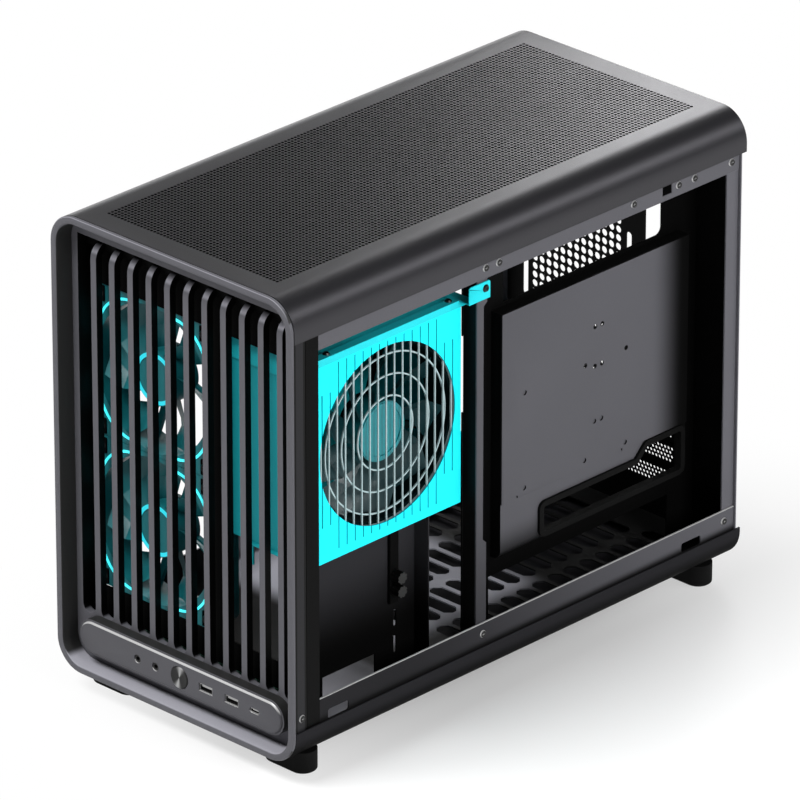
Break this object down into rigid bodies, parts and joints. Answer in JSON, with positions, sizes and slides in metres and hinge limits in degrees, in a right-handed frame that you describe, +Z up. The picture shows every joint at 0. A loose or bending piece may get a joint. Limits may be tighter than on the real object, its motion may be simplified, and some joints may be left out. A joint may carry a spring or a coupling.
{
  "type": "micro-atx computer case",
  "caption": "Rounded micro-ATX tower computer case with slatted front, front fans, power supply, motherboard tray and drive plate, shown with its side panels off.",
  "frame": {"origin": "centre of the bounding box at the bottom of the feet", "axes": "+Z up, -Y towards the slatted front, +X towards the open cable side"},
  "size_m": [0.242, 0.473, 0.38],
  "materials": {
    "rim": "satin dark grey",
    "grille": "satin grey",
    "bar": "satin charcoal with a bright bevel",
    "button": "spun",
    "port_metal": "plated",
    "black_plastic": "moulded",
    "circuit_board": "solder mask",
    "skin": "satin charcoal powder coat",
    "chassis": "black powder coat",
    "brass": "turned",
    "rubber": "matt black",
    "screws": "plated",
    "fan_plastic": "tinted teal",
    "fan_light": "lit diffuser",
    "psu_face": "bright cyan",
    "psu_body": "teal",
    "guard": "plated wire"
  },
  "bodies": {
    "case": {"audio_jacks": "black_plastic", "bottom_tray": "skin", "cable_grommet": "rubber", "clamp_strip": "chassis", "control_bar": "bar", "drive_pan": "chassis", "drive_plate": "chassis", "fan_frame_lower": "fan_plastic", "fan_frame_upper": "fan_plastic", "fan_ring_lower": "fan_light", "fan_ring_upper": "fan_light", "fan_screws": "screws", "floor_panel": "chassis", "foot_front_left": "rubber", "foot_front_right": "rubber", "foot_rear_left": "rubber", "foot_rear_right": "rubber", "front_frame": "chassis", "front_grille": "grille", "front_rim": "rim", "lower_partition": "chassis", "mid_post": "chassis", "motherboard_tray": "chassis", "port_board": "circuit_board", "power_switch": "black_plastic", "psu_bracket": "psu_body", "psu_fan_frame": "fan_plastic", "psu_fan_panel": "psu_face", "psu_foot_clip": "psu_body", "psu_guard": "guard", "psu_housing": "psu_body", "psu_inlet": "black_plastic", "psu_rocker_frame": "black_plastic", "psu_screws": "screws", "rail_screws": "screws", "rear_inlet": "black_plastic", "rear_panel": "chassis", "rim_screws": "screws", "slot_covers": "chassis", "slot_screws": "screws", "standoffs": "brass", "thumb_screws": "screws", "top_cover": "skin", "top_frame": "chassis", "usb_a_ports": "port_metal", "usb_c_port": "port_metal"},
    "power_button": {"power_button": "button"},
    "fan_lower": {"fan_rotor_lower": "fan_plastic"},
    "fan_upper": {"fan_rotor_upper": "fan_plastic"},
    "psu_fan": {"psu_fan_rotor": "fan_plastic"},
    "psu_switch": {"psu_rocker": "black_plastic"}
  },
  "joints": [
    {"name": "power_button_press", "type": "slide", "parent": "case", "child": "power_button", "axis": [0, 1, 0], "range_m": [0, 0.001], "stiffness_N_per_m": 500, "springref_m": -0.0015},
    {"name": "fan_lower_spin", "type": "hinge", "parent": "case", "child": "fan_lower", "pos_m": [-0.048, -0.2065, 0.1385], "axis": [0, 1, 0], "continuous": true},
    {"name": "fan_upper_spin", "type": "hinge", "parent": "case", "child": "fan_upper", "pos_m": [-0.048, -0.2065, 0.259], "axis": [0, 1, 0], "continuous": true},
    {"name": "psu_fan_spin", "type": "hinge", "parent": "case", "child": "psu_fan", "pos_m": [0.09, -0.1245, 0.2392], "axis": [1, 0, 0], "continuous": true},
    {"name": "psu_switch_rock", "type": "hinge", "parent": "case", "child": "psu_switch", "pos_m": [0.05, -0.1325, 0.3172], "axis": [0, 1, 0], "range_deg": [-20, 0]}
  ]
}
